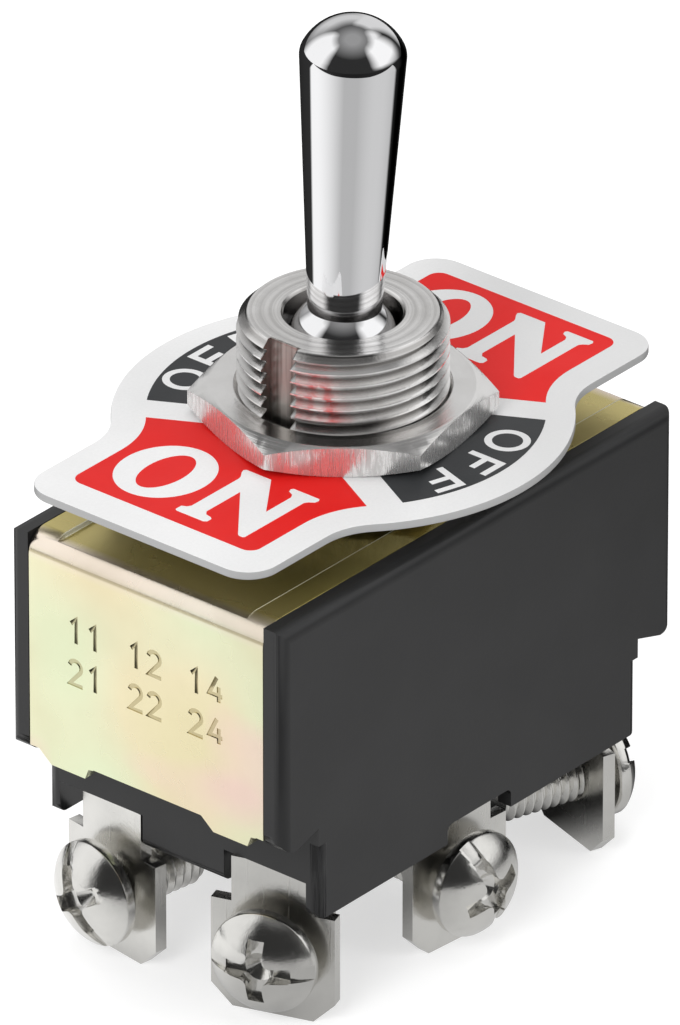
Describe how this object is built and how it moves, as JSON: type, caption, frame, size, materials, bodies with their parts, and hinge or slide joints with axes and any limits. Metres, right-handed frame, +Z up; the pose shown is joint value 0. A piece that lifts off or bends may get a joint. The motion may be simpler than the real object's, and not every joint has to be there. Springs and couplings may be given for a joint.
{
  "type": "toggle switch",
  "caption": "Panel toggle switch with a bat lever, threaded bushing, nuts, legend plate, steel frame over a moulded housing and screw terminals.",
  "frame": {"origin": "on the bushing's axis, at the plane of the terminals' lower ends", "axes": "+Z up the bushing, X along the housing in the direction the lever is thrown with the keyway at -X, Y across the housing"},
  "size_m": [0.036, 0.0262, 0.0552],
  "materials": {
    "black_plastic": "moulded, satin",
    "plated_frame": "yellow passivated zinc",
    "nickel": "nickel plated",
    "chrome": "polished",
    "legend_print": "satin, printed",
    "steel": "plain",
    "white_nylon": "satin",
    "copper": "satin",
    "brass": "satin",
    "silver": "satin",
    "nickel_screw": "nickel plated"
  },
  "bodies": {
    "switch_body": {"housing": "black_plastic", "frame": "plated_frame", "bushing": "nickel", "lower_nut": "nickel", "lock_washer": "steel", "legend_plate": "legend_print", "upper_nut": "nickel", "rocker_post_near": "brass", "rocker_post_far": "brass", "contact_1": "silver", "contact_3": "silver", "contact_4": "silver", "contact_6": "silver", "terminal_1": "nickel", "terminal_2": "nickel", "terminal_3": "nickel", "terminal_4": "nickel", "terminal_5": "nickel", "terminal_6": "nickel"},
    "lever_body": {"lever": "chrome", "lever_pin": "steel", "actuator": "white_nylon", "plunger_near": "brass", "plunger_far": "brass", "spring_near": "steel", "spring_far": "steel"},
    "rocker_near_body": {"rocker_near": "copper"},
    "rocker_far_body": {"rocker_far": "copper"},
    "screw_1_body": {"screw_1": "nickel_screw"},
    "screw_2_body": {"screw_2": "nickel_screw"},
    "screw_3_body": {"screw_3": "nickel_screw"},
    "screw_4_body": {"screw_4": "nickel_screw"},
    "screw_5_body": {"screw_5": "nickel_screw"},
    "screw_6_body": {"screw_6": "nickel_screw"}
  },
  "joints": [
    {"name": "lever_throw", "type": "hinge", "parent": "switch_body", "child": "lever_body", "pos_m": [0, 0, 0.0348], "axis": [0, 1, 0], "range_deg": [-15.7, 10.3]},
    {"name": "rocker_near_tilt", "type": "hinge", "parent": "switch_body", "child": "rocker_near_body", "pos_m": [0, -0.0048, 0.0138], "axis": [0, 1, 0], "range_deg": [-6.34, 9.66]},
    {"name": "rocker_far_tilt", "type": "hinge", "parent": "switch_body", "child": "rocker_far_body", "pos_m": [0, 0.0048, 0.0138], "axis": [0, 1, 0], "range_deg": [-6.34, 9.66]},
    {"name": "screw_1_travel", "type": "slide", "parent": "switch_body", "child": "screw_1_body", "axis": [-0.9511, -0.309, 0], "range_m": [-0.0008, 0.0015]},
    {"name": "screw_2_travel", "type": "slide", "parent": "switch_body", "child": "screw_2_body", "axis": [-0.0872, -0.9962, 0], "range_m": [-0.0008, 0.0015]},
    {"name": "screw_3_travel", "type": "slide", "parent": "switch_body", "child": "screw_3_body", "axis": [0.9511, -0.309, 0], "range_m": [-0.0008, 0.0015]},
    {"name": "screw_4_travel", "type": "slide", "parent": "switch_body", "child": "screw_4_body", "axis": [-0.9877, 0.1564, 0], "range_m": [-0.0008, 0.0015]},
    {"name": "screw_5_travel", "type": "slide", "parent": "switch_body", "child": "screw_5_body", "axis": [0.0872, 0.9962, 0], "range_m": [-0.0008, 0.0015]},
    {"name": "screw_6_travel", "type": "slide", "parent": "switch_body", "child": "screw_6_body", "axis": [0.9877, 0.1564, 0], "range_m": [-0.0008, 0.0015]}
  ],
  "couplings": [
    {"joint": "rocker_near_tilt", "follows": "lever_throw", "ratio": -0.61538},
    {"joint": "rocker_far_tilt", "follows": "lever_throw", "ratio": -0.61538}
  ]
}
